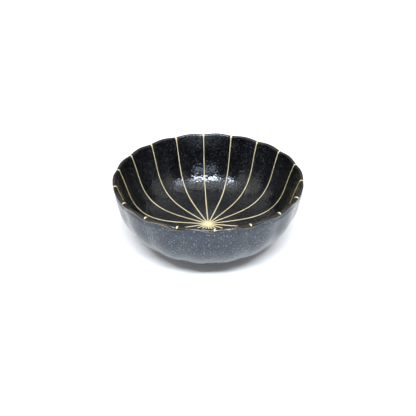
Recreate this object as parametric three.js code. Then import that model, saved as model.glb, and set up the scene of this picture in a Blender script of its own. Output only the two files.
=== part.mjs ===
// A small fluted sauce dish in dark glazed stoneware, thrown and pressed as one piece.
// It has a broad round floor, a steep wall of eighteen shallow lobes, a rounded lip that rises and
// falls with the lobes, and a low foot ring with a bare underside.
// Millimetres, +Z up. The origin is the centre of the foot ring's underside, and one crease between
// two lobes lies on +Y.
import * as THREE from "three";
import { mergeVertices } from "three/addons/utils/BufferGeometryUtils.js";

// Lobes
const LOBES = 18;
const LOBE_BULGE = 0.7; // how far a lobe's middle stands out past its creases, on the wall
const LOBE_ROUNDNESS = 1.5; // 1 gives arches that meet in a sharp crease, 2 a plain wave
const LOBES_BEGIN_RADIUS = 24; // the floor and the underside stay round inside this radius
const LOBES_FULL_RADIUS = 42;
const LIP_BULGE_SHARE = 0.4; // what is left of the bulge at the lip
const LIP_WAVE = 0.65; // rise of the lip from a crease to the middle of a lobe
const LIP_BAND = 9; // height below the crest over which the lip's wave fades out

// Lip and inside
const CREST_RADIUS = 53.6;
const CREST_HEIGHT = 43.15;
const LIP_ROUND = 1.2; // radius of the lip's rounded section
const INNER_WALL_ANGLE = 75.4; // degrees from level
const INNER_WALL_HEIGHT = 27.2; // where the straight inner wall turns into the bowl
const FLOOR_HEIGHT = 8.2;
const FLOOR_REACH = 24.6; // how far the level of the floor carries outwards
const TURN_REACH = 23.3; // how far the slope of the wall carries down into the turn

// Outside and foot
const OUTER_WALL_ANGLE = 81.2;
const OUTER_WALL_HEIGHT = 31.3; // where the straight outer wall turns into the belly
const BELLY_REACH = 16.4;
const UNDERSIDE_ANGLE = 8.3; // slope of the underside where it leaves the foot
const UNDERSIDE_REACH = 12.6;
const FOOT_RADIUS = 25;
const FOOT_HEIGHT = 4.2;
const FOOT_DRAFT = 0.4; // the foot ring narrows by this much towards the table
const FOOT_WIDTH = 3.6;
const FOOT_EDGE = 0.5; // bevel on both edges of the foot ring
const RECESS_DEPTH = 3.4; // hollow inside the foot ring
const RECESS_ROUND = 1.2;

// Fineness of the faceted surface
const STEPS_PER_LOBE = 6;
const BOWL_STEPS = 13;
const LIP_STEPS = 6;
const BELLY_STEPS = 10;

const radians = THREE.MathUtils.degToRad;
const smoothstep = THREE.MathUtils.smoothstep;
const direction = (degrees) => new THREE.Vector2(Math.cos(radians(degrees)), Math.sin(radians(degrees)));
const point = (radius, height) => new THREE.Vector2(radius, height);

// A point on a straight wall that climbs outwards at an angle, taken back from one end to a height.
function downTheWall(end, degrees, height) {
  const back = (end.y - height) / Math.sin(radians(degrees));
  return end.clone().addScaledVector(direction(degrees), -back);
}

// Half section of the dish as radius and height, from the middle of the foot's hollow, out over the
// foot and up the outside, over the lip and down to the middle of the floor.
function section() {
  const recessRadius = FOOT_RADIUS - FOOT_WIDTH;
  const footTop = point(FOOT_RADIUS + FOOT_DRAFT, FOOT_HEIGHT);
  const lipCentre = point(CREST_RADIUS, CREST_HEIGHT - LIP_ROUND);
  const outerNormal = OUTER_WALL_ANGLE - 90;
  const innerNormal = INNER_WALL_ANGLE + 90;
  const lipOutside = lipCentre.clone().addScaledVector(direction(outerNormal), LIP_ROUND);
  const lipInside = lipCentre.clone().addScaledVector(direction(innerNormal), LIP_ROUND);
  const outerWallFoot = downTheWall(lipOutside, OUTER_WALL_ANGLE, OUTER_WALL_HEIGHT);
  const innerWallFoot = downTheWall(lipInside, INNER_WALL_ANGLE, INNER_WALL_HEIGHT);

  const foot = [
    point(0, RECESS_DEPTH),
    point(recessRadius - RECESS_ROUND, RECESS_DEPTH),
    point(recessRadius, RECESS_DEPTH - RECESS_ROUND),
    point(recessRadius, FOOT_EDGE),
    point(recessRadius + FOOT_EDGE, 0),
    point(FOOT_RADIUS - FOOT_EDGE, 0),
    point(FOOT_RADIUS, FOOT_EDGE),
  ];
  const belly = new THREE.CubicBezierCurve(
    footTop,
    footTop.clone().addScaledVector(direction(UNDERSIDE_ANGLE), UNDERSIDE_REACH),
    outerWallFoot.clone().addScaledVector(direction(OUTER_WALL_ANGLE), -BELLY_REACH),
    outerWallFoot,
  );
  const lip = new THREE.EllipseCurve(
    lipCentre.x, lipCentre.y, LIP_ROUND, LIP_ROUND, radians(outerNormal), radians(innerNormal), false,
  );
  const bowl = new THREE.CubicBezierCurve(
    innerWallFoot,
    innerWallFoot.clone().addScaledVector(direction(INNER_WALL_ANGLE), -TURN_REACH),
    point(FLOOR_REACH, FLOOR_HEIGHT),
    point(0, FLOOR_HEIGHT),
  );
  return [
    ...foot,
    ...belly.getSpacedPoints(BELLY_STEPS),
    outerWallFoot.clone().lerp(lipOutside, 0.5),
    ...lip.getPoints(LIP_STEPS),
    lipInside.clone().lerp(innerWallFoot, 0.5),
    ...bowl.getSpacedPoints(BOWL_STEPS),
  ];
}

// Presses the lobes into the turned form: the wall swells out between the creases, and the lip rises.
// The lobe's form runs from -0.5 in a crease to 0.5 in its middle, so that the mean size stays.
function flute(geometry) {
  const place = geometry.getAttribute("position");
  const vertex = new THREE.Vector3();
  for (let i = 0; i < place.count; i++) {
    vertex.fromBufferAttribute(place, i);
    const radius = Math.hypot(vertex.x, vertex.y);
    if (radius === 0) continue;
    const azimuth = Math.atan2(vertex.x, vertex.y);
    const lobe = Math.abs(Math.sin((LOBES * azimuth) / 2)) ** LOBE_ROUNDNESS - 0.5;
    const onWall = smoothstep(radius, LOBES_BEGIN_RADIUS, LOBES_FULL_RADIUS);
    const atLip = smoothstep(vertex.z, CREST_HEIGHT - LIP_BAND, CREST_HEIGHT);
    const bulge = LOBE_BULGE * onWall * THREE.MathUtils.lerp(1, LIP_BULGE_SHARE, atLip);
    const swell = 1 + (bulge * lobe) / radius;
    place.setXYZ(i, vertex.x * swell, vertex.y * swell, vertex.z + LIP_WAVE * atLip * lobe);
  }
}

// Turns the section about the axis, stands it up and flutes it, as one closed surface.
function dishGeometry() {
  const turned = new THREE.LatheGeometry(section(), LOBES * STEPS_PER_LOBE);
  turned.rotateX(Math.PI / 2);
  turned.deleteAttribute("normal");
  turned.deleteAttribute("uv");
  flute(turned);
  const closed = mergeVertices(turned, 1e-3);
  closed.computeVertexNormals();
  return closed;
}

const glaze = new THREE.MeshStandardMaterial({ color: 0x24262a, roughness: 0.22, metalness: 0 });
glaze.name = "black_glaze";

const dish = new THREE.Mesh(dishGeometry(), glaze);
dish.name = "dish";

const part = new THREE.Group();
part.add(dish);

export default part;
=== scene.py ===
from math import cos, pi, radians, sin, tan, tau

import bpy
from mathutils import Matrix, Vector
from mathutils.geometry import interpolate_bezier


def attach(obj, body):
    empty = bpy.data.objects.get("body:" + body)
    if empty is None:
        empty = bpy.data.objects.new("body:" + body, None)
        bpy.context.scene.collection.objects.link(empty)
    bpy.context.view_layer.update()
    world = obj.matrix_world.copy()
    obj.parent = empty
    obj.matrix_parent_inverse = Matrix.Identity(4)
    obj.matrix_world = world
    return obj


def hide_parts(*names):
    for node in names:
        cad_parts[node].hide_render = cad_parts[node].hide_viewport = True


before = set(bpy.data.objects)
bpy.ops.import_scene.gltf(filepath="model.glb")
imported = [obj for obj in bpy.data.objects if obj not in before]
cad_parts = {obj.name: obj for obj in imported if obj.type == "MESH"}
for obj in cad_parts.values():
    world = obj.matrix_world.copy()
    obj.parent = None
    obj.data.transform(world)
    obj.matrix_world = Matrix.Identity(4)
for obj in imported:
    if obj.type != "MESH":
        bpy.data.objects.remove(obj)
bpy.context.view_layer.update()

# Lobes
LOBES = 18
LOBE_BULGE = 0.7  # how far a lobe's middle stands out past its creases, on the wall
LOBE_ROUNDNESS = 1.5  # 1 gives arches that meet in a sharp crease, 2 a plain wave
LOBES_BEGIN_RADIUS = 24  # the floor and the underside stay round inside this radius
LOBES_FULL_RADIUS = 42
LIP_BULGE_SHARE = 0.4  # what is left of the bulge at the lip
LIP_WAVE = 0.65  # rise of the lip from a crease to the middle of a lobe
LIP_BAND = 9  # height below the crest over which the lip's wave fades out

# Lip and inside
CREST_RADIUS = 53.6
CREST_HEIGHT = 43.15
LIP_ROUND = 1.2  # radius of the lip's rounded section
INNER_WALL_ANGLE = 75.4  # degrees from level
INNER_WALL_HEIGHT = 27.2  # where the straight inner wall turns into the bowl
FLOOR_HEIGHT = 8.2
FLOOR_REACH = 24.6  # how far the level of the floor carries outwards
TURN_REACH = 23.3  # how far the slope of the wall carries down into the turn

# Outside and foot
OUTER_WALL_ANGLE = 81.2
OUTER_WALL_HEIGHT = 31.3  # where the straight outer wall turns into the belly
BELLY_REACH = 16.4
UNDERSIDE_ANGLE = 8.3  # slope of the underside where it leaves the foot
UNDERSIDE_REACH = 12.6
FOOT_RADIUS = 25
FOOT_HEIGHT = 4.2
FOOT_DRAFT = 0.4  # the foot ring narrows by this much towards the table
FOOT_WIDTH = 3.6
FOOT_EDGE = 0.5  # rounding of both edges of the foot ring
RECESS_DEPTH = 3.4  # hollow inside the foot ring
RECESS_ROUND = 1.2
BARE_HEIGHT = 0.6  # the foot is wiped free of glaze up to here

# Fineness of the dish's mesh, round the axis and along the section
COLUMNS = 18 * LOBES
RECESS_STEPS = 8
RECESS_ROUND_STEPS = 5
FOOT_INSIDE_STEPS = 3
FOOT_EDGE_STEPS = 4
FOOT_BASE_STEPS = 4
FOOT_OUTSIDE_STEPS = 6
BELLY_POINTS = 44
OUTER_WALL_STEPS = 14
ROLL_STEPS = 28
LIP_STEPS = 24
INNER_WALL_STEPS = 18
BOWL_POINTS = 72
SEAM = 0.001  # points closer than this are one

# Surface of the glazed clay
HAND_WAVER = 0.12  # how far the pressed wall strays from the rule
HAND_WAVER_SPAN = 22  # width of one such stray
THIN_IN_CREASE = 2.6  # how far down the outside the lip's thin glaze reaches, at a crease
THIN_ON_LOBE = 1.3  # and in the middle of a lobe
THIN_INSIDE = 1.1  # how far it reaches down the inside
ROLL = 0.55  # thickness of the roll in which the thick glaze ends outside, below the lip
ROLL_SHOULDER = 0.65  # length over which it thickens
ROLL_LENGTH = 3.2  # length over which it runs out down the wall

# Painted lines
LINE_WIDTH = 0.7  # at the middle of the floor, if the star didn't widen it
LINE_WIDTH_ON_WALL = 0.5  # at the top of the wall, before it widens
LINE_WIDTH_AT_LIP = 1.0
LINE_WIDENS = 2.2  # height below the crest at which a line begins to widen
LINE_THICKNESS = 0.14
LINE_SINK = 0.1  # how deep the underside of a line lies in the glaze
LINE_START = 1.5  # radius at which the lines begin, under the pool at the middle
LINE_LIP_ANGLE = 30  # where on the lip's round a line ends: 0 is the outside, 90 the crest
LINE_TAPER = 0.8  # length over which a line's end rounds off
LINE_UNEVENNESS = 0.16  # share by which the width of a line strays
LINE_UNEVEN_SPAN = 6  # length of one such stray
LINE_WANDER = 0.12  # how far a line strays sideways
LINE_WANDER_SPAN = 24  # length of one such bend
LINE_POINTS_ROUND = 13  # round a line's mesh, with the first point there twice
NOISE_GAIN = 2.0  # a noise keeps to about 0.25 to 0.75, and this brings it to about -1 to 1
STAR_RADIUS = 2.7  # inside this radius the lines have run together
STAR_REACH = 7.0  # out here they have their own width again
POOL_RADIUS = 2.5
POOL_HEIGHT = 0.22  # how far the pool stands up from the floor
POOL_SEGMENTS = 4 * LOBES
POOL_RINGS = LOBES

# Pattern of the glaze. Its grain, specks, dimples and pits are drawn coarser than the real ones, so
# that they show at the picture's size.
GRAIN = 1.2  # width of a lighter spot in the glaze's colour
# The pale specks are partly the glaze's own and partly painted glints of the dimpled skin
SPECK_SPACING = 1.25
SPECK_CORE = 0.2  # radius out to which a speck has its full colour
SPECK_EDGE = 0.45  # radius at which it has faded
NO_SPECK = 0.3  # share of the places for a speck that stay empty
FULL_SPECK = 0.8  # past this share a speck is at its palest
DIMPLE = 1.3
DIMPLE_SMOOTHNESS = 0.5
PIT = 0.9
PIT_SHARE = 0.6  # weight of the pits in the skin's bump, against the dimples
SKIN_HEIGHT = 0.15  # height that this bump stands for
GLAZE_ROUGHNESS = 0.12
THIN_ROUGHNESS = 0.16
OUTSIDE_SHEEN_FADE = 1  # way from the crest, outside, over which the paler blue-grey sets in, partly a painted reflection of the white table

# Edge at which the thick glaze begins. Places count from there, and are below 0 on the thin side.
THIN_FULL = -0.3
THIN_ENDS = 0.1
RUST_BEGINS = -0.3
RUST_FULL = -0.05
RUST_FADES = 0.05
RUST_ENDS = 0.25
RUST_PATCH = 14  # length of a rusty stretch
RUST_GAP_NOISE = 0.48  # its noise leaves a gap below this
RUST_FULL_NOISE = 0.58  # and gives the full colour above this

# Patterns of the bare clay and of the paint
CLAY_GRAIN = 0.8  # width of a grain
CLAY_GRAIN_HEIGHT = 0.1
CREAM_CLOUD = 2.5  # width of a paler spot in the paint

# Camera, in the same frame. Angles are in degrees, and the lens is in millimetres.
CAMERA_PLACE = (-15.09, -263.63, 196.06)
CAMERA_AZIMUTH = 3.28  # how far the camera stands to the left of the crease in front
CAMERA_HEADING = 3.37  # how far right of +Y it looks
CAMERA_PITCH = 33.26  # how far down from level
CAMERA_ROLL = -0.08
CAMERA_LENS = 45.7
CAMERA_SHIFT = (-0.0022, -0.01)  # the picture is cut a little off the middle of the lens

# Light. A softbox is given as it is seen from the dish: azimuth and elevation of its middle, width and
# height, all in degrees, then its radiance and its colour. Azimuth 0 is the camera's side, 90 is the
# right of the picture, and an elevation over 90 lies past the zenith.
SOFTBOXES = {
    "middle softbox": (0, 56, 34, 6, 76, "#e0edff"),
    "left softbox": (-42, 56, 30, 5, 6, "#e0edff"),
    "right softbox": (40, 56, 30, 5, 11, "#e0edff"),
    "left wall": (-80, 30, 50, 40, 1.15, "#fffdf9"),
    "right wall": (80, 30, 50, 40, 0.95, "#fffdf9"),
    "top softbox": (0, 65, 50, 14, 3.4, "#f2f7ff"),
    "ceiling strip": (0, 81, 70, 7, 4.4, "#ffffff"),
    "rear ceiling strip": (0, 96, 70, 7, 3.8, "#ffffff"),
    "upper window": (4, 26, 28, 12, 5.5, "#d2e3ff"),
    "window": (6, 3.5, 60, 7, 3.4, "#e6f0ff"),
    "white wall behind": (180, 50, 84, 40, 0.7, "#ffffff"),
}
SOFTBOX_DISTANCE = 1800
ROOM = 0.05  # brightness of the dim room that the dish stands in
BACKDROP = 0.9  # and of the pale backdrop that shows beyond the table
TABLE_REACH = 3000  # from the middle of the table to each edge

# Sockets of a Mix node that mixes colours, and its output
MIX_SHARE, MIX_FROM, MIX_TO, MIXED = 0, 6, 7, 2


def metres(millimetres):
    return millimetres / 1000


def per(millimetres):
    """The scale at which a pattern on metres repeats once over these millimetres."""
    return 1000 / millimetres


def direction(degrees):
    return Vector((cos(radians(degrees)), sin(radians(degrees))))


def linear(hex_colour):
    """A colour written as sRGB hex, as the linear red, green, blue and alpha that Blender reads."""
    shares = [int(hex_colour[i:i + 2], 16) / 255 for i in (1, 3, 5)]
    return (*[s / 12.92 if s <= 0.04045 else ((s + 0.055) / 1.055) ** 2.4 for s in shares], 1)


# Section of the dish


def arc(centre, radius, first, last, steps):
    turn = (last - first) / steps
    return [centre + direction(first + turn * i) * radius for i in range(steps + 1)]


def straight(start, end, steps):
    """The points between two ends, without the ends."""
    return [start.lerp(end, i / steps) for i in range(1, steps)]


def down_the_wall(end, degrees, height):
    """A point on a straight wall that climbs outwards at an angle, taken back from an end to a height."""
    return end - direction(degrees) * ((end.y - height) / sin(radians(degrees)))


def lip_point(degrees):
    """A point on the lip's round, where 0 degrees is the outside and 90 the crest."""
    return Vector((CREST_RADIUS, CREST_HEIGHT - LIP_ROUND)) + direction(degrees) * LIP_ROUND


def foot_section(foot_top):
    """The foot, from the middle of its hollow out over the standing edge and up to its top."""
    hollow = FOOT_RADIUS - FOOT_WIDTH
    recess = Vector((hollow - RECESS_ROUND, RECESS_DEPTH - RECESS_ROUND))
    inner_edge = Vector((hollow + FOOT_EDGE, FOOT_EDGE))
    outer_edge = Vector((FOOT_RADIUS - FOOT_EDGE, FOOT_EDGE))
    down = Vector((0, FOOT_EDGE))
    out = Vector((FOOT_EDGE, 0))
    middle = Vector((0, RECESS_DEPTH))
    turn = arc(recess, RECESS_ROUND, 90, 0, RECESS_ROUND_STEPS)
    return [
        middle,
        *straight(middle, turn[0], RECESS_STEPS),
        *turn,
        *straight(turn[-1], inner_edge - out, FOOT_INSIDE_STEPS),
        *arc(inner_edge, FOOT_EDGE, 180, 270, FOOT_EDGE_STEPS),
        *straight(inner_edge - down, outer_edge - down, FOOT_BASE_STEPS),
        *arc(outer_edge, FOOT_EDGE, 270, 360, FOOT_EDGE_STEPS),
        *straight(outer_edge + out, foot_top, FOOT_OUTSIDE_STEPS),
    ]


def section():
    """Radius and height from the middle of the foot's hollow, up the outside and down to the floor."""
    foot_top = Vector((FOOT_RADIUS + FOOT_DRAFT, FOOT_HEIGHT))
    outer_normal = OUTER_WALL_ANGLE - 90
    inner_normal = INNER_WALL_ANGLE + 90
    outer_foot = down_the_wall(lip_point(outer_normal), OUTER_WALL_ANGLE, OUTER_WALL_HEIGHT)
    inner_foot = down_the_wall(lip_point(inner_normal), INNER_WALL_ANGLE, INNER_WALL_HEIGHT)
    belly = interpolate_bezier(
        foot_top,
        foot_top + direction(UNDERSIDE_ANGLE) * UNDERSIDE_REACH,
        outer_foot - direction(OUTER_WALL_ANGLE) * BELLY_REACH,
        outer_foot,
        BELLY_POINTS,
    )
    lip_centre = lip_point(0) - Vector((LIP_ROUND, 0))
    lip = arc(lip_centre, LIP_ROUND, outer_normal, inner_normal, LIP_STEPS)
    below_lip = lip[0] - direction(OUTER_WALL_ANGLE) * ROLL_LENGTH
    bowl = interpolate_bezier(
        inner_foot,
        inner_foot - direction(INNER_WALL_ANGLE) * TURN_REACH,
        Vector((FLOOR_REACH, FLOOR_HEIGHT)),
        Vector((0, FLOOR_HEIGHT)),
        BOWL_POINTS,
    )
    return [
        *foot_section(foot_top),
        *belly,
        *straight(outer_foot, below_lip, OUTER_WALL_STEPS),
        below_lip,
        *straight(below_lip, lip[0], ROLL_STEPS),
        *lip,
        *straight(lip[-1], inner_foot, INNER_WALL_STEPS),
        *bowl,
    ]


def ways(points):
    """How far each point lies along the line through them, in millimetres."""
    way = [0]
    for before, after in zip(points, points[1:]):
        way.append(way[-1] + (after - before).length)
    return way


def outlook(points):
    """The direction that faces away from the clay at each point."""
    found = []
    for i in range(len(points)):
        along = points[min(i + 1, len(points) - 1)] - points[max(i - 1, 0)]
        found.append(Vector((along.y, -along.x)).normalized())
    return found


def section_object(name, points, numbers, vectors):
    """Points of the section as a bare mesh, with what a tree needs to know at each as attributes."""
    mesh = bpy.data.meshes.new(name)
    mesh.from_pydata([(0, metres(p.x), metres(p.y)) for p in points], [], [])
    for title, values in numbers.items():
        mesh.attributes.new(title, "FLOAT", "POINT").data.foreach_set("value", values)
    for title, values in vectors.items():
        flat = [number for v in values for number in (0, v.x, v.y)]
        mesh.attributes.new(title, "FLOAT_VECTOR", "POINT").data.foreach_set("vector", flat)
    made = bpy.data.objects.new(name, mesh)
    bpy.context.scene.collection.objects.link(made)
    return made


# Node trees


def add(tree, kind, wires=None, stops=None, **settings):
    """Adds a node with its settings and links, and gives its outputs.

    A wire is a value, another node's output, or a list of outputs that one socket joins. Stops are
    the two ends of a colour ramp, as hex colours by place.
    """
    node = tree.nodes.new(kind)
    for title, value in settings.items():
        setattr(node, title, value)
    for socket, value in (wires or {}).items():
        outputs = value if isinstance(value, list) else [value]
        if isinstance(outputs[0], bpy.types.NodeSocket):
            for output in outputs:
                tree.links.new(output, node.inputs[socket])
        else:
            node.inputs[socket].default_value = value
    if stops:
        for stop, (place, colour) in zip(node.color_ramp.elements, stops.items()):
            stop.position = place
            stop.color = linear(colour)
    return node.outputs


def geometry_tree(name, sizes, passes="Geometry"):
    """A new tree that takes and gives geometry or a vector, with a named input for each size."""
    tree = bpy.data.node_groups.new(name, "GeometryNodeTree")
    for way in ("INPUT", "OUTPUT"):
        tree.interface.new_socket(passes, in_out=way, socket_type="NodeSocket" + passes)
    for title, value in sizes.items():
        kind = "NodeSocketInt" if isinstance(value, int) else "NodeSocketFloat"
        tree.interface.new_socket(title, in_out="INPUT", socket_type=kind).default_value = value
    return tree, add(tree, "NodeGroupInput")


def made_by(tree, piece, sizes):
    """Runs a tree on the section's points, with these sizes, and keeps what it makes as a plain mesh."""
    modifier = piece.modifiers.new(tree.name, "NODES")
    modifier.node_group = tree
    for item in tree.interface.items_tree:
        if item.in_out == "INPUT" and item.name in sizes:
            modifier[item.identifier] = sizes[item.name]
    seen = piece.evaluated_get(bpy.context.evaluated_depsgraph_get())
    mesh = bpy.data.meshes.new_from_object(seen)
    piece.modifiers.remove(modifier)
    piece.data = mesh
    return piece


def lobes_tree():
    """Presses the lobes into a turned surface: the wall swells between creases and the lip rises.

    A lobe's form runs from -0.5 in a crease to 0.5 in its middle, so that the mean size stays.
    """
    tree, size = geometry_tree("press lobes", {
        "Lobes": LOBES,
        "Bulge": metres(LOBE_BULGE),
        "Roundness": LOBE_ROUNDNESS,
        "Begin Radius": metres(LOBES_BEGIN_RADIUS),
        "Full Radius": metres(LOBES_FULL_RADIUS),
        "Lip Share": LIP_BULGE_SHARE,
        "Lip Wave": metres(LIP_WAVE),
        "Lip Begins": metres(CREST_HEIGHT - LIP_BAND),
        "Crest": metres(CREST_HEIGHT),
    }, "Vector")
    place = add(tree, "ShaderNodeSeparateXYZ", {0: size["Vector"]})
    level = add(tree, "ShaderNodeCombineXYZ", {"X": place["X"], "Y": place["Y"]})[0]
    radius = add(tree, "ShaderNodeVectorMath", {0: level}, operation="LENGTH")["Value"]
    azimuth = add(tree, "ShaderNodeMath", {0: place["X"], 1: place["Y"]}, operation="ARCTAN2")[0]
    turns = add(tree, "ShaderNodeMath", {0: azimuth, 1: size["Lobes"]}, operation="MULTIPLY")[0]
    half_turns = add(tree, "ShaderNodeMath", {0: turns, 1: 0.5}, operation="MULTIPLY")[0]
    wave = add(tree, "ShaderNodeMath", {0: half_turns}, operation="SINE")[0]
    arch = add(tree, "ShaderNodeMath", {0: wave}, operation="ABSOLUTE")[0]
    rounded = add(tree, "ShaderNodeMath", {0: arch, 1: size["Roundness"]}, operation="POWER")[0]
    lobe = add(tree, "ShaderNodeMath", {0: rounded, 1: 0.5}, operation="SUBTRACT")[0]

    on_wall = add(tree, "ShaderNodeMapRange", {
        "Value": radius,
        "From Min": size["Begin Radius"],
        "From Max": size["Full Radius"],
    }, interpolation_type="SMOOTHSTEP")[0]
    at_lip = add(tree, "ShaderNodeMapRange", {
        "Value": place["Z"],
        "From Min": size["Lip Begins"],
        "From Max": size["Crest"],
    }, interpolation_type="SMOOTHSTEP")[0]
    share = add(tree, "ShaderNodeMapRange", {
        "Value": at_lip,
        "To Min": 1.0,
        "To Max": size["Lip Share"],
    })[0]
    full_bulge = add(tree, "ShaderNodeMath", {0: size["Bulge"], 1: on_wall}, operation="MULTIPLY")[0]
    bulge = add(tree, "ShaderNodeMath", {0: full_bulge, 1: share}, operation="MULTIPLY")[0]
    swell = add(tree, "ShaderNodeMath", {0: bulge, 1: lobe}, operation="MULTIPLY")[0]
    outwards = add(tree, "ShaderNodeVectorMath", {0: level}, operation="NORMALIZE")[0]
    aside = add(tree, "ShaderNodeVectorMath", {0: outwards, "Scale": swell}, operation="SCALE")[0]
    lip_wave = add(tree, "ShaderNodeMath", {0: size["Lip Wave"], 1: at_lip}, operation="MULTIPLY")[0]
    rise = add(tree, "ShaderNodeMath", {0: lip_wave, 1: lobe}, operation="MULTIPLY")[0]
    up = add(tree, "ShaderNodeCombineXYZ", {"Z": rise})[0]
    swelled = add(tree, "ShaderNodeVectorMath", {0: size["Vector"], 1: aside})[0]
    pressed = add(tree, "ShaderNodeVectorMath", {0: swelled, 1: up})[0]
    add(tree, "NodeGroupOutput", {0: pressed})
    return tree


def net_place(tree, rows):
    """The row and the column of each point of a net, whose points are numbered column by column."""
    index = add(tree, "GeometryNodeInputIndex")[0]
    row = add(tree, "ShaderNodeMath", {0: index, 1: rows}, operation="MODULO")[0]
    columns_before = add(tree, "ShaderNodeMath", {0: index, 1: rows}, operation="DIVIDE")[0]
    column = add(tree, "ShaderNodeMath", {0: columns_before}, operation="FLOOR")[0]
    return row, column


def at_row(tree, points, row, title=None, data_type="FLOAT_VECTOR"):
    """The place of the section's point for a row of the net, or its attribute with this title."""
    if title:
        value = add(tree, "GeometryNodeInputNamedAttribute", {"Name": title}, data_type=data_type)[0]
    else:
        value = add(tree, "GeometryNodeInputPosition")[0]
    return add(tree, "GeometryNodeSampleIndex", {
        "Geometry": points,
        "Value": value,
        "Index": row,
    }, data_type=data_type)[0]


def glaze_by_the_lip(tree, size, share, from_crest):
    """How the glaze lies by the lip, from the share of the way round and the way from the crest.

    off_lip is the way past the edge of the thin glaze, outside is the way down the outside, and roll
    is the thickness of the roll in which the thick glaze ends.
    """
    half_turns = add(tree, "ShaderNodeMath", {0: share, 1: size["Half Turns"]}, operation="MULTIPLY")[0]
    wave = add(tree, "ShaderNodeMath", {0: half_turns}, operation="SINE")[0]
    arch = add(tree, "ShaderNodeMath", {0: wave}, operation="ABSOLUTE")[0]
    thin_reach = add(tree, "ShaderNodeMapRange", {
        "Value": arch,
        "To Min": size["Thin In Crease"],
        "To Max": size["Thin On Lobe"],
    })[0]
    outside = add(tree, "ShaderNodeMath", {0: from_crest, 1: -1.0}, operation="MULTIPLY")[0]
    below = add(tree, "ShaderNodeMath", {0: outside, 1: thin_reach}, operation="SUBTRACT")[0]
    within = add(tree, "ShaderNodeMath", {0: from_crest, 1: size["Thin Inside"]}, operation="SUBTRACT")[0]
    off_lip = add(tree, "ShaderNodeMath", {0: below, 1: within}, operation="MAXIMUM")[0]
    shoulder = add(tree, "ShaderNodeMapRange", {
        "Value": below,
        "From Max": size["Roll Shoulder"],
        "To Max": size["Roll"],
    }, interpolation_type="SMOOTHSTEP")[0]
    run_out = add(tree, "ShaderNodeMapRange", {
        "Value": below,
        "From Min": size["Roll Shoulder"],
        "From Max": size["Roll Length"],
        "To Min": 1.0,
        "To Max": 0.0,
    }, interpolation_type="SMOOTHSTEP")[0]
    roll = add(tree, "ShaderNodeMath", {0: shoulder, 1: run_out}, operation="MULTIPLY")[0]
    return {"off_lip": off_lip, "outside": outside, "roll": roll}


def stand_out(tree, size, place, height):
    """How far the surface stands out from the rule: by the hand's strays above the foot, and the roll."""
    often = add(tree, "ShaderNodeMath", {0: 1.0, 1: size["Waver Span"]}, operation="DIVIDE")[0]
    noise = add(tree, "ShaderNodeTexNoise", {"Vector": place, "Scale": often, "Detail": 1.0})[0]
    waver = add(tree, "ShaderNodeMath", {0: noise, 1: 0.5}, operation="SUBTRACT")[0]
    foot_twice = add(tree, "ShaderNodeMath", {0: size["Foot Height"], 1: 2.0}, operation="MULTIPLY")[0]
    above_foot = add(tree, "ShaderNodeMapRange", {
        "Value": height,
        "From Min": size["Foot Height"],
        "From Max": foot_twice,
        "To Max": size["Waver"],
    }, interpolation_type="SMOOTHSTEP")[0]
    roll = add(tree, "GeometryNodeInputNamedAttribute", {"Name": "roll"}, data_type="FLOAT")[0]
    return add(tree, "ShaderNodeMath", {0: waver, 1: above_foot, 2: roll}, operation="MULTIPLY_ADD")[0]


def dish_tree(sizes, press, glaze, clay):
    """Turns the section round the axis as a net of rows and columns, and presses the lobes into it."""
    tree, size = geometry_tree("turn and press the dish", sizes)
    rows = add(tree, "GeometryNodeAttributeDomainSize", {0: size["Geometry"]})["Point Count"]
    columns = add(tree, "ShaderNodeMath", {0: size["Columns"], 1: 1.0})[0]
    net = add(tree, "GeometryNodeMeshGrid", {"Vertices X": columns, "Vertices Y": rows})[0]
    row, column = net_place(tree, rows)
    share = add(tree, "ShaderNodeMath", {0: column, 1: size["Columns"]}, operation="DIVIDE")[0]
    angle = add(tree, "ShaderNodeMath", {0: share, 1: -tau}, operation="MULTIPLY")[0]
    point = at_row(tree, size["Geometry"], row)
    from_crest = at_row(tree, size["Geometry"], row, "from_crest", "FLOAT")
    for title, value in glaze_by_the_lip(tree, size, share, from_crest).items():
        net = add(tree, "GeometryNodeStoreNamedAttribute", {
            "Geometry": net,
            "Name": title,
            "Value": value,
        }, data_type="FLOAT", domain="POINT")[0]
    turned = add(tree, "ShaderNodeVectorRotate", {
        "Vector": point,
        "Angle": angle,
    }, rotation_type="Z_AXIS")[0]
    pressed = add(tree, "GeometryNodeGroup", {0: turned}, node_tree=press)[0]
    shaped = add(tree, "GeometryNodeSetPosition", {"Geometry": net, "Position": pressed})[0]
    closed = add(tree, "GeometryNodeMergeByDistance", {"Geometry": shaped, "Distance": metres(SEAM)})[0]

    place = add(tree, "GeometryNodeInputPosition")[0]
    height = add(tree, "ShaderNodeSeparateXYZ", {0: place})["Z"]
    amount = stand_out(tree, size, place, height)
    facing = add(tree, "GeometryNodeInputNormal")[0]
    stray = add(tree, "ShaderNodeVectorMath", {0: facing, "Scale": amount}, operation="SCALE")[0]
    wavered = add(tree, "GeometryNodeSetPosition", {"Geometry": closed, "Offset": stray})[0]
    smooth = add(tree, "GeometryNodeSetShadeSmooth", {0: wavered})[0]
    whole = add(tree, "GeometryNodeRealizeInstances", {0: smooth})[0]
    glazed = add(tree, "GeometryNodeSetMaterial", {"Geometry": whole, "Material": glaze})[0]
    low = add(tree, "FunctionNodeCompare", {0: height, 1: size["Bare Height"]}, operation="LESS_THAN")[0]
    wiped = add(tree, "GeometryNodeSetMaterial", {
        "Geometry": glazed,
        "Selection": low,
        "Material": clay,
    })[0]
    add(tree, "NodeGroupOutput", {0: wiped})
    return tree


def stray_along(tree, thread, often, detail):
    """A slow stray from about -1 to 1 along each line."""
    noise = add(tree, "ShaderNodeTexNoise", {"Vector": thread, "Scale": often, "Detail": detail})[0]
    return add(tree, "ShaderNodeMapRange", {
        "Value": noise,
        "To Min": -NOISE_GAIN,
        "To Max": NOISE_GAIN,
    })[0]


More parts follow.
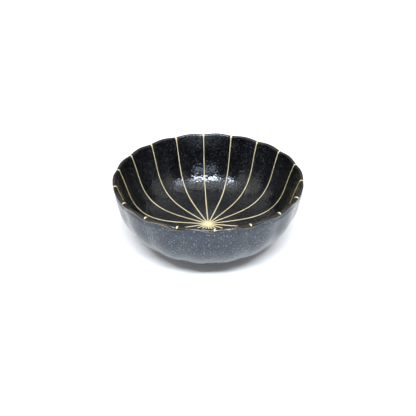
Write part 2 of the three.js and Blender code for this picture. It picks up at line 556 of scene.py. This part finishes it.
def line_width(tree, size, along, thread):
    """Width of a line: it narrows up the wall, widens at the lip, and fills the star in the middle."""
    on_clay = add(tree, "ShaderNodeMapRange", {
        "Value": along["Y"],
        "From Max": size["Crest Radius"],
        "To Min": size["Width"],
        "To Max": size["Width On Wall"],
    })[0]
    own_width = add(tree, "ShaderNodeMapRange", {
        "Value": along["Z"],
        "From Min": size["Widens"],
        "From Max": size["Wide"],
        "To Min": on_clay,
        "To Max": size["Width At Lip"],
    }, interpolation_type="SMOOTHSTEP")[0]
    star_gap = add(tree, "ShaderNodeMath", {0: size["Star Radius"], 1: size["Lines"]}, operation="DIVIDE")[0]
    star_width = add(tree, "ShaderNodeMath", {0: star_gap, 1: tau}, operation="MULTIPLY")[0]
    width = add(tree, "ShaderNodeMapRange", {
        "Value": along["Y"],
        "From Min": size["Star Radius"],
        "From Max": size["Star Reach"],
        "To Min": star_width,
        "To Max": own_width,
    }, interpolation_type="SMOOTHSTEP")[0]
    stray = stray_along(tree, thread, size["Strays Per Metre"], 1.0)
    uneven = add(tree, "ShaderNodeMath", {
        0: stray,
        1: size["Unevenness"],
        2: 1.0,
    }, operation="MULTIPLY_ADD")[0]
    return add(tree, "ShaderNodeMath", {0: width, 1: uneven}, operation="MULTIPLY")[0]


def line_wander(tree, size, along, thread):
    """How far a line lies beside its crease: not at all in the star, and most at the lip."""
    stray = stray_along(tree, thread, size["Wanders Per Metre"], 0.0)
    free = add(tree, "ShaderNodeMapRange", {
        "Value": along["Y"],
        "From Min": size["Star Radius"],
        "From Max": size["Crest Radius"],
        "To Max": size["Wander"],
    }, interpolation_type="SMOOTHSTEP")[0]
    return add(tree, "ShaderNodeMath", {0: stray, 1: free}, operation="MULTIPLY")[0]


def pool(tree, size):
    """The flat drop of glaze on the middle of the floor, in which the lines meet."""
    drop = add(tree, "GeometryNodeMeshUVSphere", {
        "Segments": POOL_SEGMENTS,
        "Rings": POOL_RINGS,
        "Radius": size["Pool Radius"],
    })[0]
    flatness = add(tree, "ShaderNodeMath", {
        0: size["Pool Height"],
        1: size["Pool Radius"],
    }, operation="DIVIDE")[0]
    flat = add(tree, "ShaderNodeCombineXYZ", {"X": 1.0, "Y": 1.0, "Z": flatness})[0]
    on_floor = add(tree, "ShaderNodeCombineXYZ", {"Z": size["Floor"]})[0]
    return add(tree, "GeometryNodeTransform", {
        "Geometry": drop,
        "Translation": on_floor,
        "Scale": flat,
    })[0]


def lines_tree(sizes, press, cream):
    """Lays a closed thread of glaze, lens-shaped across, along each crease, and the pool they meet in.

    Each line is a net whose columns run along it and whose rows go round it, and has its own noise.
    """
    tree, size = geometry_tree("paint the lines", sizes)
    rows = add(tree, "GeometryNodeAttributeDomainSize", {0: size["Geometry"]})["Point Count"]
    net = add(tree, "GeometryNodeMeshGrid", {"Vertices X": size["Points Round"], "Vertices Y": rows})[0]
    starts = add(tree, "GeometryNodeMeshLine", {"Count": size["Lines"], "Offset": (0, 0, 0)})[0]
    copies = add(tree, "GeometryNodeInstanceOnPoints", {"Points": starts, "Instance": net})[0]
    threads = add(tree, "GeometryNodeRealizeInstances", {0: copies})[0]

    row, count = net_place(tree, rows)
    lines_before = add(tree, "ShaderNodeMath", {0: count, 1: size["Points Round"]}, operation="DIVIDE")[0]
    line = add(tree, "ShaderNodeMath", {0: lines_before}, operation="FLOOR")[0]
    line_share = add(tree, "ShaderNodeMath", {0: line, 1: size["Lines"]}, operation="DIVIDE")[0]
    angle = add(tree, "ShaderNodeMath", {0: line_share, 1: -tau}, operation="MULTIPLY")[0]
    column = add(tree, "ShaderNodeMath", {0: count, 1: size["Points Round"]}, operation="MODULO")[0]
    gaps = add(tree, "ShaderNodeMath", {0: size["Points Round"], 1: 1.0}, operation="SUBTRACT")[0]
    share = add(tree, "ShaderNodeMath", {0: column, 1: gaps}, operation="DIVIDE")[0]
    round_angle = add(tree, "ShaderNodeMath", {0: share, 1: tau}, operation="MULTIPLY")[0]
    across = add(tree, "ShaderNodeMath", {0: round_angle}, operation="COSINE")[0]
    lift = add(tree, "ShaderNodeMath", {0: round_angle}, operation="SINE")[0]

    point = at_row(tree, size["Geometry"], row)
    facing = at_row(tree, size["Geometry"], row, "outlook")
    fullness = at_row(tree, size["Geometry"], row, "fullness", "FLOAT")
    along = add(tree, "ShaderNodeSeparateXYZ", {0: point})
    own_noise = add(tree, "ShaderNodeCombineXYZ", {"X": line})[0]
    thread = add(tree, "ShaderNodeVectorMath", {0: point, 1: own_noise})[0]
    width = line_width(tree, size, along, thread)
    tapered = add(tree, "ShaderNodeMath", {0: width, 1: fullness}, operation="MULTIPLY")[0]
    half = add(tree, "ShaderNodeMath", {0: tapered, 1: 0.5}, operation="MULTIPLY")[0]
    wander = line_wander(tree, size, along, thread)
    sideways = add(tree, "ShaderNodeMath", {0: across, 1: half, 2: wander}, operation="MULTIPLY_ADD")[0]
    over = add(tree, "ShaderNodeMath", {0: lift, 1: 0.0}, operation="MAXIMUM")[0]
    under = add(tree, "ShaderNodeMath", {0: lift, 1: 0.0}, operation="MINIMUM")[0]
    top = add(tree, "ShaderNodeMath", {0: size["Thickness"], 1: over}, operation="MULTIPLY")[0]
    height = add(tree, "ShaderNodeMath", {0: size["Sink"], 1: under, 2: top}, operation="MULTIPLY_ADD")[0]

    aside = add(tree, "ShaderNodeCombineXYZ", {"X": sideways})[0]
    local = add(tree, "ShaderNodeVectorMath", {0: point, 1: aside})[0]
    turned = add(tree, "ShaderNodeVectorRotate", {
        "Vector": local,
        "Angle": angle,
    }, rotation_type="Z_AXIS")[0]
    pressed = add(tree, "GeometryNodeGroup", {0: turned}, node_tree=press)[0]
    proud = add(tree, "ShaderNodeVectorMath", {0: facing, "Scale": height}, operation="SCALE")[0]
    relief = add(tree, "ShaderNodeVectorRotate", {
        "Vector": proud,
        "Angle": angle,
    }, rotation_type="Z_AXIS")[0]
    final = add(tree, "ShaderNodeVectorMath", {0: pressed, 1: relief})[0]
    laid = add(tree, "GeometryNodeSetPosition", {"Geometry": threads, "Position": final})[0]
    closed = add(tree, "GeometryNodeMergeByDistance", {"Geometry": laid, "Distance": metres(SEAM)})[0]
    joined = add(tree, "GeometryNodeJoinGeometry", {0: [closed, pool(tree, size)]})[0]
    smooth = add(tree, "GeometryNodeSetShadeSmooth", {0: joined})[0]
    whole = add(tree, "GeometryNodeRealizeInstances", {0: smooth})[0]
    painted = add(tree, "GeometryNodeSetMaterial", {"Geometry": whole, "Material": cream})[0]
    add(tree, "NodeGroupOutput", {0: painted})
    return tree


# Materials


def new_material(name):
    made = bpy.data.materials.new(name)
    made.use_nodes = True
    made.node_tree.nodes.clear()
    return made, made.node_tree


def specks(tree, place):
    """How strongly pale specks show, from 0 to 1: partly the glaze's own, partly painted glints. Each place
    for one has its own strength.
    """
    cells = add(tree, "ShaderNodeTexVoronoi", {"Vector": place, "Scale": per(SPECK_SPACING)})
    near = add(tree, "ShaderNodeMapRange", {
        "Value": cells["Distance"],
        "From Min": SPECK_CORE / SPECK_SPACING,
        "From Max": SPECK_EDGE / SPECK_SPACING,
        "To Min": 1.0,
        "To Max": 0.0,
    })[0]
    chance = add(tree, "ShaderNodeSeparateColor", {0: cells["Color"]})["Red"]
    strength = add(tree, "ShaderNodeMapRange", {
        "Value": chance,
        "From Min": NO_SPECK,
        "From Max": FULL_SPECK,
    })[0]
    return add(tree, "ShaderNodeMath", {0: near, 1: strength}, operation="MULTIPLY")[0]


def rusty_edge(tree, place, off_lip, outside):
    """A broken rust-coloured line along the edge at which the thick glaze begins, outside only."""
    rises = add(tree, "ShaderNodeMapRange", {
        "Value": off_lip,
        "From Min": metres(RUST_BEGINS),
        "From Max": metres(RUST_FULL),
    })[0]
    falls = add(tree, "ShaderNodeMapRange", {
        "Value": off_lip,
        "From Min": metres(RUST_FADES),
        "From Max": metres(RUST_ENDS),
        "To Min": 1.0,
        "To Max": 0.0,
    })[0]
    noise = add(tree, "ShaderNodeTexNoise", {"Vector": place, "Scale": per(RUST_PATCH), "Detail": 2.0})[0]
    patches = add(tree, "ShaderNodeMapRange", {
        "Value": noise,
        "From Min": RUST_GAP_NOISE,
        "From Max": RUST_FULL_NOISE,
    })[0]
    edge = add(tree, "ShaderNodeMath", {0: rises, 1: falls}, operation="MULTIPLY")[0]
    broken = add(tree, "ShaderNodeMath", {0: edge, 1: patches}, operation="MULTIPLY")[0]
    return add(tree, "ShaderNodeMath", {0: broken, 1: outside}, operation="MULTIPLY")[0]


def dimpled_skin(tree, place):
    """The bump of the fired skin, dimples with finer pits, which breaks up its reflections."""
    dimples = add(tree, "ShaderNodeTexVoronoi", {
        "Vector": place,
        "Scale": per(DIMPLE),
        "Smoothness": DIMPLE_SMOOTHNESS,
    }, feature="SMOOTH_F1")["Distance"]
    pits = add(tree, "ShaderNodeTexNoise", {"Vector": place, "Scale": per(PIT), "Detail": 1.0})[0]
    skin = add(tree, "ShaderNodeMath", {0: pits, 1: PIT_SHARE, 2: dimples}, operation="MULTIPLY_ADD")[0]
    return add(tree, "ShaderNodeBump", {
        "Height": skin,
        "Strength": 1.0,
        "Distance": metres(SKIN_HEIGHT),
    })[0]


def black_glaze():
    """Gloss black stoneware glaze, laid on thick and fired.

    It is near black inside and a paler blue-grey outside, which is partly the glaze's tint and partly a
    painted reflection of the white table. It has pale specks, partly painted glints, and reflects
    sharply from a dimpled skin. On the lip it is thin and brown-black, with a broken rusty edge outside.
    """
    made, tree = new_material("gloss_black_stoneware_glaze")
    place = add(tree, "ShaderNodeTexCoord")["Object"]
    off_lip = add(tree, "ShaderNodeAttribute", attribute_name="off_lip")["Fac"]
    down_outside = add(tree, "ShaderNodeAttribute", attribute_name="outside")["Fac"]
    outside = add(tree, "ShaderNodeMapRange", {"Value": down_outside, "From Max": metres(OUTSIDE_SHEEN_FADE)})[0]
    grain = add(tree, "ShaderNodeTexNoise", {
        "Vector": place,
        "Scale": per(GRAIN),
        "Detail": 3.0,
        "Roughness": 0.7,
    })[0]
    speck_and_glint = specks(tree, place)
    black = add(tree, "ShaderNodeValToRGB", {0: grain}, stops={0.4: "#020203", 0.7: "#141517"})[0]
    # Pale specks on the black: partly the glaze's own, partly painted glints
    specked_and_glinting_black = add(tree, "ShaderNodeMix", {
        MIX_SHARE: speck_and_glint,
        MIX_FROM: black,
        MIX_TO: linear("#303236"),
    }, data_type="RGBA")[MIXED]
    # The outside's paler blue-grey and its paler specks are partly a painted reflection of the white table
    blue = add(tree, "ShaderNodeValToRGB", {0: grain}, stops={0.35: "#10171f", 0.7: "#283440"})[0]
    specked_sheen_blue = add(tree, "ShaderNodeMix", {
        MIX_SHARE: speck_and_glint,
        MIX_FROM: blue,
        MIX_TO: linear("#66707b"),
    }, data_type="RGBA")[MIXED]
    thick_glaze = add(tree, "ShaderNodeMix", {
        MIX_SHARE: outside,
        MIX_FROM: specked_and_glinting_black,
        MIX_TO: specked_sheen_blue,
    }, data_type="RGBA")[MIXED]
    thin = add(tree, "ShaderNodeMapRange", {
        "Value": off_lip,
        "From Min": metres(THIN_FULL),
        "From Max": metres(THIN_ENDS),
        "To Min": 1.0,
        "To Max": 0.0,
    })[0]
    thin_glaze = add(tree, "ShaderNodeValToRGB", {0: grain}, stops={0.3: "#131210", 0.9: "#2a2723"})[0]
    glaze = add(tree, "ShaderNodeMix", {
        MIX_SHARE: thin,
        MIX_FROM: thick_glaze,
        MIX_TO: thin_glaze,
    }, data_type="RGBA")[MIXED]
    colour = add(tree, "ShaderNodeMix", {
        MIX_SHARE: rusty_edge(tree, place, off_lip, outside),
        MIX_FROM: glaze,
        MIX_TO: linear("#86703c"),
    }, data_type="RGBA")[MIXED]
    roughness = add(tree, "ShaderNodeMapRange", {
        "Value": thin,
        "To Min": GLAZE_ROUGHNESS,
        "To Max": THIN_ROUGHNESS,
    })[0]
    shader = add(tree, "ShaderNodeBsdfPrincipled", {
        "Base Color": colour,
        "Roughness": roughness,
        "IOR": 1.52,
        "Normal": dimpled_skin(tree, place),
    })[0]
    add(tree, "ShaderNodeOutputMaterial", {0: shader})
    return made


def bare_clay():
    """Stoneware clay wiped free of glaze and fired: matt, light brown and slightly gritty."""
    made, tree = new_material("fired_bare_stoneware")
    place = add(tree, "ShaderNodeTexCoord")["Object"]
    grain = add(tree, "ShaderNodeTexNoise", {"Vector": place, "Scale": per(CLAY_GRAIN), "Detail": 3.0})[0]
    colour = add(tree, "ShaderNodeValToRGB", {0: grain}, stops={0.3: "#6e5b48", 0.7: "#9c866c"})[0]
    bump = add(tree, "ShaderNodeBump", {
        "Height": grain,
        "Strength": 0.6,
        "Distance": metres(CLAY_GRAIN_HEIGHT),
    })[0]
    shader = add(tree, "ShaderNodeBsdfPrincipled", {
        "Base Color": colour,
        "Roughness": 0.85,
        "Normal": bump,
    })[0]
    add(tree, "ShaderNodeOutputMaterial", {0: shader})
    return made


def cream_overglaze():
    """Opaque cream overglaze, painted by hand and fired: satin, with faintly paler and darker spots."""
    made, tree = new_material("painted_cream_overglaze")
    place = add(tree, "ShaderNodeTexCoord")["Object"]
    cloud = add(tree, "ShaderNodeTexNoise", {"Vector": place, "Scale": per(CREAM_CLOUD), "Detail": 2.0})[0]
    colour = add(tree, "ShaderNodeValToRGB", {0: cloud}, stops={0.35: "#bead82", 0.65: "#d1c092"})[0]
    shader = add(tree, "ShaderNodeBsdfPrincipled", {
        "Base Color": colour,
        "Roughness": 0.35,
        "IOR": 1.5,
    })[0]
    add(tree, "ShaderNodeOutputMaterial", {0: shader})
    return made


# Pieces


def glazed_dish(press):
    """The whole dish as one closed surface, glazed all over but for the foot ring's standing edge."""
    points = section()
    way = ways(points)
    crest = max(range(len(points)), key=lambda i: points[i].y)
    from_crest = [metres(w - way[crest]) for w in way]
    bare = section_object("glazed_dish", points, {"from_crest": from_crest}, {})
    sizes = {
        "Columns": COLUMNS,
        "Waver": metres(HAND_WAVER),
        "Waver Span": metres(HAND_WAVER_SPAN),
        "Foot Height": metres(FOOT_HEIGHT),
        "Bare Height": metres(BARE_HEIGHT),
        "Half Turns": pi * LOBES,
        "Thin In Crease": metres(THIN_IN_CREASE),
        "Thin On Lobe": metres(THIN_ON_LOBE),
        "Thin Inside": metres(THIN_INSIDE),
        "Roll": metres(ROLL),
        "Roll Shoulder": metres(ROLL_SHOULDER),
        "Roll Length": metres(ROLL_LENGTH),
    }
    return made_by(dish_tree(sizes, press, black_glaze(), bare_clay()), bare, sizes)


def painted_lines(press):
    """The lines, each from the outer side of the lip down to the floor, and the pool they meet in."""
    points = section()
    end = lip_point(LINE_LIP_ANGLE)
    first = min(range(len(points)), key=lambda i: (points[i] - end).length)
    track = [p for p in points[first:] if p.x > LINE_START]
    way = ways(track)
    facing = outlook(points)[first:first + len(track)]
    fullness = [min(1, max(0, min(w, way[-1] - w) / LINE_TAPER)) ** 0.5 for w in way]
    bare = section_object("painted_lines", track, {"fullness": fullness}, {"outlook": facing})
    sizes = {
        "Lines": LOBES,
        "Points Round": LINE_POINTS_ROUND,
        "Width": metres(LINE_WIDTH),
        "Width On Wall": metres(LINE_WIDTH_ON_WALL),
        "Width At Lip": metres(LINE_WIDTH_AT_LIP),
        "Widens": metres(CREST_HEIGHT - LINE_WIDENS),
        "Wide": metres(CREST_HEIGHT - LIP_ROUND / 2),
        "Crest Radius": metres(CREST_RADIUS),
        "Thickness": metres(LINE_THICKNESS),
        "Sink": metres(LINE_SINK),
        "Unevenness": LINE_UNEVENNESS,
        "Strays Per Metre": per(LINE_UNEVEN_SPAN),
        "Wander": metres(LINE_WANDER),
        "Wanders Per Metre": per(LINE_WANDER_SPAN),
        "Star Radius": metres(STAR_RADIUS),
        "Star Reach": metres(STAR_REACH),
        "Pool Radius": metres(POOL_RADIUS),
        "Pool Height": metres(POOL_HEIGHT),
        "Floor": metres(FLOOR_HEIGHT),
    }
    return made_by(lines_tree(sizes, press, cream_overglaze()), bare, sizes)


# Stage, light and camera


def floor():
    """A plain white table that fills the view."""
    far = metres(TABLE_REACH)
    corners = [(-far, -far, 0), (far, -far, 0), (far, far, 0), (-far, far, 0)]
    mesh = bpy.data.meshes.new("table")
    mesh.from_pydata(corners, [], [(0, 1, 2, 3)])
    made = bpy.data.objects.new("table", mesh)
    bpy.context.scene.collection.objects.link(made)
    paper, tree = new_material("matt_white_paper")
    shader = add(tree, "ShaderNodeBsdfPrincipled", {"Base Color": linear("#ebe5dd"), "Roughness": 0.9})[0]
    add(tree, "ShaderNodeOutputMaterial", {0: shader})
    mesh.materials.append(paper)


def softbox(name, azimuth, elevation, wide, high, radiance, colour):
    """A rectangle of light that faces the dish, with its place and its size as seen from there."""
    distance = metres(SOFTBOX_DISTANCE)
    lamp = bpy.data.lights.new(name, "AREA")
    lamp.shape = "RECTANGLE"
    lamp.size = 2 * distance * tan(radians(wide / 2))
    lamp.size_y = 2 * distance * tan(radians(high / 2))
    lamp.energy = radiance * pi * lamp.size * lamp.size_y
    lamp.color = linear(colour)[:3]
    made = bpy.data.objects.new(name, lamp)
    bpy.context.scene.collection.objects.link(made)
    side, up = radians(azimuth - CAMERA_AZIMUTH), radians(elevation)
    towards = Vector((sin(side) * cos(up), -cos(side) * cos(up), sin(up)))
    made.location = towards * distance
    made.rotation_euler = towards.to_track_quat("Z", "Y").to_euler()


def room_light():
    """One strong softbox high in front, with weak ones beside, above and below it, and all round.

    The world shows the camera a pale backdrop, and lights the dish as a dim room does.
    """
    for name, numbers in SOFTBOXES.items():
        softbox(name, *numbers)
    world = bpy.data.worlds.new("studio")
    bpy.context.scene.world = world
    world.use_nodes = True
    tree = world.node_tree
    tree.nodes.clear()
    seen = add(tree, "ShaderNodeLightPath")["Is Camera Ray"]
    strength = add(tree, "ShaderNodeMapRange", {"Value": seen, "To Min": ROOM, "To Max": BACKDROP})[0]
    shine = add(tree, "ShaderNodeBackground", {"Color": linear("#ffffff"), "Strength": strength})[0]
    add(tree, "ShaderNodeOutputWorld", {0: shine})
    bpy.context.scene.view_settings.view_transform = "Standard"


def camera():
    """A camera at the photograph's viewing angle."""
    lens = bpy.data.cameras.new("camera")
    lens.lens = CAMERA_LENS
    lens.shift_x, lens.shift_y = CAMERA_SHIFT
    made = bpy.data.objects.new("camera", lens)
    bpy.context.scene.collection.objects.link(made)
    heading = Matrix.Rotation(radians(-CAMERA_HEADING), 4, "Z")
    tilt = Matrix.Rotation(radians(90 - CAMERA_PITCH), 4, "X")
    roll = Matrix.Rotation(radians(CAMERA_ROLL), 4, "Z")
    place = metres(Vector(CAMERA_PLACE))
    made.matrix_world = Matrix.Translation(place) @ heading @ tilt @ roll
    bpy.context.scene.camera = made


camera()
room_light()
floor()
press = lobes_tree()
dish = glazed_dish(press)
lines = painted_lines(press)

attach(dish, "root")
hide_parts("dish")
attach(lines, "root")
